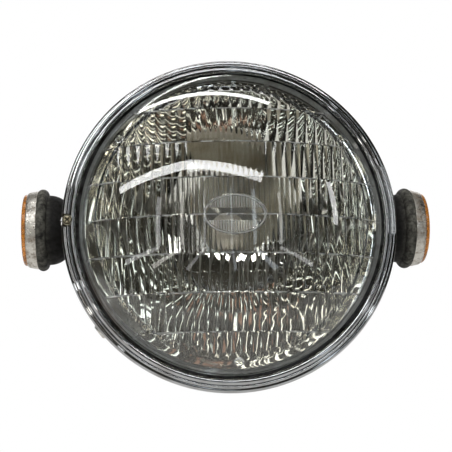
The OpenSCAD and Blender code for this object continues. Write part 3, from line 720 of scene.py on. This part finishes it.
def make_bowl():
    def parabola(r0, r1, out, steps):
        points = []
        for i in range(steps + 1):
            r = r0 + (r1 - r0) * i / steps
            slope = r / (2 * FOCAL)
            n = math.sqrt(1 + slope * slope)
            points.append((r + out * slope / n, VERTEX_Y - r * r / (4 * FOCAL) + out / n))
        return points

    face_y = SEAM_Y + 0.02
    back_y = VERTEX_Y + BOWL_T
    outline = [(BOWL_R, face_y), (FLANGE_R, face_y), (FLANGE_R, SEAM_Y + FLANGE_T)]
    outline += parabola(BOWL_R - 0.5, BOWL_CAP_R, BOWL_T, 40)
    outline += [(BOWL_CAP_R + BOWL_T / 2, back_y), (0, back_y), (0, VERTEX_Y)]
    outline += parabola(0.8, BOWL_R, 0, 72)[:-1]
    bowl = add("mirror_bowl", turned(outline, on_beam, 288), "beam", MIRROR, ["reflector"])
    bowl.data.materials.append(SEAL)
    for face in bowl.data.polygons:
        off = math.hypot(face.center.x, face.center.z - BEAM_Z * MM) / MM
        if off > BOWL_R and face.center.y / MM < SEAM_Y + 0.1:
            face.material_index = 1


def make_coil(name, node):
    """A filament as a wound wire between its two ends."""
    low, high = span(node)
    centre = (low + high) / 2
    coil_r = (high.z - low.z) / 2 - COIL_WIRE / 2
    half = (high.x - low.x) / 2
    count = COIL_TURNS * COIL_STEPS
    bm = bmesh.new()
    rings = []
    for k in range(count + 1):
        turn = TAU * k / COIL_STEPS
        x = -half + 2 * half * k / count
        out = Vector((0, math.cos(turn), math.sin(turn)))
        ring = []
        for side in range(COIL_SIDES):
            a = TAU * side / COIL_SIDES
            off = out * (coil_r + COIL_WIRE / 2 * math.cos(a)) + Vector((COIL_WIRE / 2 * math.sin(a), 0, 0))
            ring.append(bm.verts.new((centre + Vector((x, 0, 0)) + off) * MM))
        rings.append(ring)
    join_rings(bm, rings)
    bm.faces.new(rings[0])
    bm.faces.new(list(reversed(rings[-1])))
    add(name, bm, "beam", WIRE, [node])


def side_span(node):
    """Near and far end along the mounting axis and the radius of a node of a side reflector."""
    low, high = span(node)
    ends = sorted((abs(low.x), abs(high.x)))
    return ends[0], ends[1], (high.z - low.z) / 2


def make_side(side, word):
    """The side reflector of one side: rubber base, bezel, amber lens and its prisms."""
    place = on_side(side)
    x0, _, base_r = side_span("side_base_" + word)
    b0, b1, bezel_r = side_span("side_bezel_" + word)
    l0, l1, lens_r = side_span("side_lens_" + word)

    crest_r = base_r - BASE_ROUND - 0.2
    edge_x = x0 + BASE_NECK_L + BASE_RIM_L
    outline = [(BASE_BORE_R, x0)]
    for t in (i / 14 for i in range(15)):
        flare = math.sin(t * math.pi / 2) ** 1.3
        outline.append((BASE_NECK_R + (crest_r - BASE_NECK_R) * flare, x0 + BASE_NECK_L * t ** 1.6))
    outline += arc(base_r - BASE_ROUND, edge_x - BASE_ROUND, BASE_ROUND, -75, 62, 18)
    outline += [(base_r - 2.6, edge_x - 0.1), (base_r - 4.2, edge_x - 0.6), (BASE_BORE_R, edge_x - 2.6)]
    rubber = turned(outline, place, 192)
    add("side_rubber_" + word, rubber, "housing", SIDE_RUBBER_DUST_AND_SHEEN, ["side_base_" + word])

    hoop = [(bezel_r - BEZEL_BACK_W, b0)]
    hoop += arc(bezel_r - BEZEL_BACK_R, b0 + BEZEL_BACK_R, BEZEL_BACK_R, -90, 0, 5)
    hoop += [(bezel_r - 0.1, b0 + (b1 - b0) * 0.35), (bezel_r - 0.5, b0 + (b1 - b0) * 0.6)]
    hoop += arc(bezel_r - BEZEL_FRONT_W, b1 - BEZEL_FRONT_R, BEZEL_FRONT_R, 20, 100, 8)
    hoop += [(lens_r + 0.25, b1 - 0.15), (lens_r + 0.2, b0 + 1.4)]
    hoop += [(BEZEL_BORE_R, b0 + BEZEL_FLOOR_T), (BEZEL_BORE_R, b0)]
    bezel = turned(hoop, place, 192)
    add("side_hoop_" + word, bezel, "housing", BEZEL, ["side_bezel_" + word])

    inset_r, dome_r, cup_x = lens_r - AMBER_CUP_W, lens_r - 1.4, l0 + AMBER_CUP_H
    face = [(0, cup_x), (inset_r, cup_x), (inset_r, l0), (lens_r, l0), (lens_r, b1 + 0.6)]
    face += arc(lens_r - AMBER_EDGE_R, l1 - 1.9, AMBER_EDGE_R, 0, 70, 8)
    for t in (i / 14 for i in range(15)):
        face.append((max(dome_r * (1 - t), 0), l1 - AMBER_CROWN + AMBER_CROWN * math.sin(t * math.pi / 2)))
    amber = turned(face, place, 160)
    add("side_amber_" + word, amber, "housing", AMBER, ["side_lens_" + word], 40)
    make_prisms(side, word, lens_r - 2.0, l0 + 0.2)


def make_prisms(side, word, radius, x0):
    """The prism field behind an amber lens: six-sided cups cut in a plate."""
    corner_r = PRISM_PITCH * HEX_CORNER
    bm = bmesh.new()

    def corner(along, y, z):
        return bm.verts.new(Vector((side * along, y, z)) * MM)

    rows = int(radius / (PRISM_PITCH * HEX_ROW)) + 1
    for j in range(-rows, rows + 1):
        for i in range(-rows - 1, rows + 2):
            y = (i + (j % 2) / 2) * PRISM_PITCH
            z = j * PRISM_PITCH * HEX_ROW
            if math.hypot(y, z) > radius - PRISM_PITCH * 0.6:
                continue
            tip = corner(x0 + PRISM_H, y, z)
            turns = [TAU * (k + 0.5) / 6 for k in range(6)]
            places = [(y + corner_r * math.cos(a), z + corner_r * math.sin(a)) for a in turns]
            ring = [corner(x0 + PRISM_SINK, *place) for place in places]
            for k in range(6):
                bm.faces.new((ring[k], ring[(k + 1) % 6], tip))
    bmesh.ops.remove_doubles(bm, verts=bm.verts, dist=1e-6)
    back_x = x0 + PRISM_PLATE_T
    plate = turned([(0, x0), (radius, x0), (radius, back_x), (0, back_x)], on_side(side), 96)
    mesh = bpy.data.meshes.new("joining")
    plate.to_mesh(mesh)
    plate.free()
    bm.from_mesh(mesh)
    bpy.data.meshes.remove(mesh)
    add("side_prisms_" + word, bm, "housing", AMBER_PRISM, (), 5)


def make_studs():
    """Two staggered rows of small studs inside the top of the glass, and three nubs round its edge."""
    bm = bmesh.new()

    def stud(r, angle, size):
        x, z = r * math.sin(angle), r * math.cos(angle)
        y = DOME_CY - math.sqrt(CORE_R**2 - r * r) - STUD_SINK
        base = Vector((x, y, BEAM_Z + z))
        turn = Vector((-x, DOME_CY - y, -z)).normalized().to_track_quat("Z", "Y")
        rings = []
        for k in range(STUD_RINGS):
            a = k / STUD_RINGS * math.pi / 2
            wide, high = size * math.cos(a), size * STUD_TALL * math.sin(a)
            turns = [TAU * i / STUD_SIDES for i in range(STUD_SIDES)]
            ring = [Vector((wide * math.cos(t), wide * math.sin(t), high)) for t in turns]
            rings.append([bm.verts.new((base + turn @ point) * MM) for point in ring])
        tip = bm.verts.new((base + turn @ Vector((0, 0, size * STUD_TALL))) * MM)
        join_rings(bm, rings)
        for i in range(STUD_SIDES):
            bm.faces.new((rings[-1][i], rings[-1][(i + 1) % STUD_SIDES], tip))
        bm.faces.new(list(reversed(rings[0])))

    for i in range(-13, 15):
        for r, shift, size in STUDS:
            stud(r, math.radians(i * STUD_PITCH + shift), size)
    for angle in NUB_TURNS:
        stud(NUB_R, math.radians(angle), NUB_SIZE)
    add("glass_studs", bm, "beam", GLASS, (), 60)


make_rim()
make_glass()
make_bowl()
make_studs()
for name, node in (("coil_low", "filament_low"), ("coil_high", "filament_high")):
    make_coil(name, node)
for side, word in ((-1, "left"), (1, "right")):
    make_side(side, word)
SMOOTHED = [
    "shell", "harness_grommet", "filament_shield", "aim_seat", "aim_screw", "rim_screw_left",
    "rim_screw_right", "rim_nut_left", "rim_nut_right", "rim_bracket_left", "rim_bracket_right",
    "unit_ring", "retainer_ring", "ferrule_common", "ferrule_low", "ferrule_high",
    "post_common", "post_low", "post_high", "side_stud_left", "side_stud_right",
]
for node in SMOOTHED:
    slot = NODE_SLOT[node]
    add(node + "_skin", copy_of(node), NODE_BODY[node], FINISHES[slot], [node])
# The seat plate takes the dark colour: painted shade in the rim's pocket, with dirt
bpy.data.objects["aim_seat_skin"].data.materials[0] = SEAT_DIRT_AND_SHADE
screw_mesh = bpy.data.objects["aim_screw_skin"].data
screw_mesh.materials.append(SEAT_DIRT_AND_SHADE)
# Recess faces in the screw head take the same dark colour: painted shade, with dirt
for face in screw_mesh.polygons:
    off = math.hypot(face.center.x / MM - SCREW_X, face.center.z / MM - SCREW_Z)
    if off < RECESS_R and SCREW_FRONT_Y + 0.05 < face.center.y / MM < SCREW_FRONT_Y + RECESS_H:
        face.material_index = 1
for node, obj in frame["nodes"].items():
    obj.data.materials.clear()
    obj.data.materials.append(FINISHES[NODE_SLOT[node]])


# Studio: a pale floor, a dark room in front of the lamp and soft strip lamps
def stage_plane(name, centre, size, turn, material, seen=False):
    mesh = bpy.data.meshes.new(name)
    w, h = size[0] / 2, size[1] / 2
    mesh.from_pydata([(-w, -h, 0), (w, -h, 0), (w, h, 0), (-w, h, 0)], [], [(0, 1, 2, 3)])
    mesh.materials.append(material)
    obj = bpy.data.objects.new(name, mesh)
    obj.location = centre
    obj.rotation_euler = [math.radians(a) for a in turn]
    obj.visible_camera = seen
    bpy.context.scene.collection.objects.link(obj)


def plain_stage(name, a, b, size):
    f = Finish(name)
    return f.done(f.shader(Base_Color=f.mix(f.noise(size), a, b), Roughness=0.9))


FLOOR = plain_stage("floor_paper", (0.78, 0.77, 0.75), (0.84, 0.83, 0.81), 400)
DARK = plain_stage("room_wall", (0.012, 0.0115, 0.009), (0.032, 0.03, 0.023), 500)
WALL = plain_stage("front_paint", (0.032, 0.029, 0.023), (0.095, 0.088, 0.068), 350)
CEILING = plain_stage("ceiling_paint", (0.075, 0.066, 0.053), (0.13, 0.115, 0.095), 500)
FLOOR_Z = -0.33
ROOM_X, ROOM_FRONT_Y, ROOM_MID_Y, ROOM_MID_Z = 2.6, -2.6, -0.2, 0.6
WALL_H = 4.6
stage_plane("floor", (0, 0.35, FLOOR_Z), (2.6, 1.5), (0, 0, 0), FLOOR, True)
stage_plane("front_wall", (0, ROOM_FRONT_Y, ROOM_MID_Z), (7.0, WALL_H), (90, 0, 0), WALL)
for side, word in ((-1, "left"), (1, "right")):
    stage_plane(word + "_wall", (side * ROOM_X, ROOM_MID_Y, ROOM_MID_Z), (5.2, WALL_H), (90, 0, 90), DARK)
stage_plane("ceiling", (0, ROOM_MID_Y, 2.2), (5.6, 5.2), (0, 0, 0), CEILING)
stage_plane("dark_floor", (0, -1.5, FLOOR_Z - 0.02), (5.6, 2.5), (0, 0, 0), DARK)


def strip(name, start, end, width, radiance, target=(0, -0.06, 0), colour=(1, 1, 1)):
    """A soft rectangular lamp between two points, turned to the lamp on show."""
    start, end = Vector(start), Vector(end)
    length = (end - start).length
    along = (end - start) / length
    centre = (start + end) / 2
    out = centre - Vector(target)
    out = (out - out.dot(along) * along).normalized()
    data = bpy.data.lights.new(name, "AREA")
    data.shape = "RECTANGLE"
    data.size, data.size_y = length, width
    data.energy = radiance * math.pi * length * width
    data.color = colour
    obj = bpy.data.objects.new(name, data)
    across = out.cross(along)
    obj.matrix_world = Matrix.Translation(centre) @ Matrix((along, across, out)).transposed().to_4x4()
    obj.visible_camera = False
    bpy.context.scene.collection.objects.link(obj)
    return obj


# Lamps whose mirror images make the arcs and streaks: ends, width, radiance
STRIPS_MEET = (-0.52, -1.55, 1.14)
strip("front_strip_left", (-2.5, -1.55, 1.15), STRIPS_MEET, 0.18, 15)
strip("front_strip_right", STRIPS_MEET, (0.56, -1.55, 0.83), 0.16, 12)
strip("top_tube", (-0.79, -0.167, 1.3), (0.455, -0.351, 1.3), 0.055, 20)
strip("window_far", (1.9, -1.2, 0.2), (1.9, -1.2, 1.0), 0.12, 9)
strip("brown_door", (-0.3, -2.49, 0.16), (-0.12, -2.49, 0.16), 0.22, 0.4, colour=(1.0, 0.55, 0.42))
strip("back_fill", (-0.5, 1.6, 1.2), (1.0, 1.6, 1.2), 1.0, 1.2, (0, 0, 0))

# Soft light for the matt surfaces, kept out of the mirror images
FILL_Z, FILL_W = 1.4, 1.2
for name, y, radiance in (("soft_fill_front", -1.5, 3.3), ("soft_fill_back", 1.4, 2.6)):
    fill = strip(name, (-1.2, y, FILL_Z), (0.6, y, FILL_Z), FILL_W, radiance)
    fill.visible_glossy = False
    fill.visible_transmission = False

# Upright panels on the far wall and flat ones on the floor in front: place across, width, radiance, colour
NEUTRAL, COOL, WARM = (1, 1, 1), (0.86, 0.94, 1.0), (1.0, 0.97, 0.9)
PANEL_Y, PANEL_LOW, PANEL_HIGH = -2.5, -0.3, 1.0
PANELS = [
    (-1.75, 0.13, 4.6, NEUTRAL),
    (-1.05, 0.08, 6.0, WARM),
    (-0.5, 0.05, 3.4, NEUTRAL),
    (0.1, 0.04, 3.2, COOL),
    (0.62, 0.08, 4.0, COOL),
    (1.3, 0.08, 5.0, NEUTRAL),
]
for number, (x, width, radiance, colour) in enumerate(PANELS):
    low, high = (x, PANEL_Y, PANEL_LOW), (x, PANEL_Y, PANEL_HIGH)
    strip("wall_panel_%d" % number, low, high, width, radiance, colour=colour)
    near, far = (x * 0.7, -0.9, FLOOR_Z), (x * 0.9, -2.3, FLOOR_Z)
    strip("floor_panel_%d" % number, near, far, width * 0.7, radiance, colour=colour)

# World: white behind the object and in its mirror images, softer as light on it
WORLD_LIGHT = 0.6
world = bpy.data.worlds.new("studio")
bpy.context.scene.world = world
world.use_nodes = True
tree = world.node_tree
tree.nodes.clear()
background = tree.nodes.new("ShaderNodeBackground")
paths = tree.nodes.new("ShaderNodeLightPath")
seen = tree.nodes.new("ShaderNodeMath")
seen.operation = "MAXIMUM"
also = tree.nodes.new("ShaderNodeMath")
also.operation = "MAXIMUM"
tree.links.new(paths.outputs["Is Camera Ray"], seen.inputs[0])
tree.links.new(paths.outputs["Is Glossy Ray"], seen.inputs[1])
tree.links.new(seen.outputs["Value"], also.inputs[0])
tree.links.new(paths.outputs["Is Transmission Ray"], also.inputs[1])
level = tree.nodes.new("ShaderNodeMapRange")
tree.links.new(also.outputs["Value"], level.inputs["Value"])
level.inputs["To Min"].default_value = WORLD_LIGHT
level.inputs["To Max"].default_value = 1.0
tree.links.new(level.outputs["Result"], background.inputs["Strength"])
tree.links.new(background.outputs["Background"], tree.nodes.new("ShaderNodeOutputWorld").inputs["Surface"])
background.inputs["Color"].default_value = (1, 1, 1, 1)

# Camera: a little to the left of the lamp and below it, looking slightly up
EYE_YAW, EYE_PITCH = math.radians(4.29), math.radians(9.04)
EYE_DISTANCE = 600.0
IMAGE = 452
FOCAL_PX = 1068.0
UP_TURN = Vector((0.0051, -0.158, 0.9876))
AIM_LEFT, AIM_DOWN = 3.03, 2.06
SENSOR_W = 36
lip_centre = Vector((0, LIP_Y, BEAM_Z))
level_off = Vector((-math.sin(EYE_YAW), -math.cos(EYE_YAW), 0))
back_off = level_off * math.cos(EYE_PITCH) - Vector((0, 0, math.sin(EYE_PITCH)))
eye = lip_centre + EYE_DISTANCE * back_off
right = Vector((math.cos(EYE_YAW), -math.sin(EYE_YAW), 0))
aim = lip_centre - AIM_LEFT * right - AIM_DOWN * right.cross(-back_off).normalized()
ahead = (aim - eye).normalized()
side_way = ahead.cross(UP_TURN).normalized()
up_way = side_way.cross(ahead)
camera_data = bpy.data.cameras.new("photo_view")
camera_data.sensor_width = SENSOR_W
camera_data.lens = SENSOR_W * FOCAL_PX / IMAGE
camera_data.clip_start = 0.01
camera = bpy.data.objects.new("photo_view", camera_data)
camera.matrix_world = Matrix.Translation(eye * MM) @ Matrix((side_way, up_way, -ahead)).transposed().to_4x4()
bpy.context.scene.collection.objects.link(camera)
scene = bpy.context.scene
scene.camera = camera
scene.view_settings.view_transform = "Standard"
